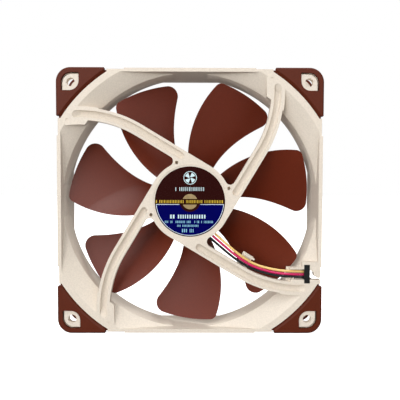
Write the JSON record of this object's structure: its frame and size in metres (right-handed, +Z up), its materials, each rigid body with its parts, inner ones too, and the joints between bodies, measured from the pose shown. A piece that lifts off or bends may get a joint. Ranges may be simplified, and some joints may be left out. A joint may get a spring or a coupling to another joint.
{
  "type": "case fan",
  "caption": "Square axial cooling fan with rubber corner pads, swept blades on a motor hub, curved struts and a short coiled lead with a connector.",
  "frame": {"origin": "centre of the fan housing, on the spin axis, halfway through its depth", "axes": "+Z up with the fan standing on its lower side, +Y along the spin axis from the outlet face to the intake face, +X to the right seen from the outlet"},
  "size_m": [0.1542, 0.0747, 0.14],
  "materials": {
    "frame_plastic": "fine matte moulded plastic",
    "pad_rubber": "smooth matte silicone rubber",
    "impeller_plastic": "fine matte moulded plastic",
    "label_film": "printed satin film",
    "clip_plastic": "black moulded plastic",
    "brass": "turned brass",
    "bronze": "sintered bronze, oil filled",
    "steel": "drawn and turned steel",
    "magnet": "bonded ferrite",
    "lamination": "stacked electrical steel",
    "insulator": "white moulded nylon",
    "copper": "enamelled copper wire",
    "board": "solder mask over glass laminate",
    "component": "moulded component bodies",
    "bearing_polymer": "low friction polymer",
    "wire_yellow": "PVC insulation",
    "wire_red": "PVC insulation",
    "wire_black": "PVC insulation",
    "heat_shrink": "shrunk polyolefin",
    "braid": "woven polyester sleeve",
    "tin": "tin plated contact metal"
  },
  "bodies": {
    "housing": {"frame": "frame_plastic", "label": "label_film", "cable_clip": "clip_plastic", "bearing_shell": "brass", "bearing_bush": "bronze", "oil_ring": "bearing_polymer", "stabiliser_magnet": "magnet", "thrust_pad": "bearing_polymer", "stator_core": "lamination", "insulator_front": "insulator", "insulator_rear": "insulator", "coils": "copper", "circuit_board": "board", "hall_sensor": "component", "driver_chip": "component", "capacitor": "component", "resistors": "component", "terminal_pins": "tin", "wire_yellow": "wire_yellow", "wire_red": "wire_red", "wire_black": "wire_black", "wire_boot": "heat_shrink", "lead_sleeve": "braid", "lead_coil": "braid", "lead_tie": "clip_plastic", "lead_end_sleeve": "heat_shrink", "lead_wire_yellow": "wire_yellow", "lead_wire_red": "wire_red", "lead_wire_black": "wire_black", "connector_housing": "clip_plastic", "crimp_terminals": "tin", "pad_outlet_top_right": "pad_rubber", "pad_outlet_top_left": "pad_rubber", "pad_outlet_bottom_left": "pad_rubber", "pad_outlet_bottom_right": "pad_rubber", "pad_intake_top_right": "pad_rubber", "pad_intake_top_left": "pad_rubber", "pad_intake_bottom_left": "pad_rubber", "pad_intake_bottom_right": "pad_rubber"},
    "rotor": {"impeller": "impeller_plastic", "rotor_yoke": "steel", "ring_magnet": "magnet", "rotor_boss": "brass", "shaft": "steel", "retaining_clip": "steel"}
  },
  "joints": [
    {"name": "rotor_spin", "type": "hinge", "parent": "housing", "child": "rotor", "pos_m": [0, 0, 0], "axis": [0, 1, 0], "continuous": true}
  ]
}
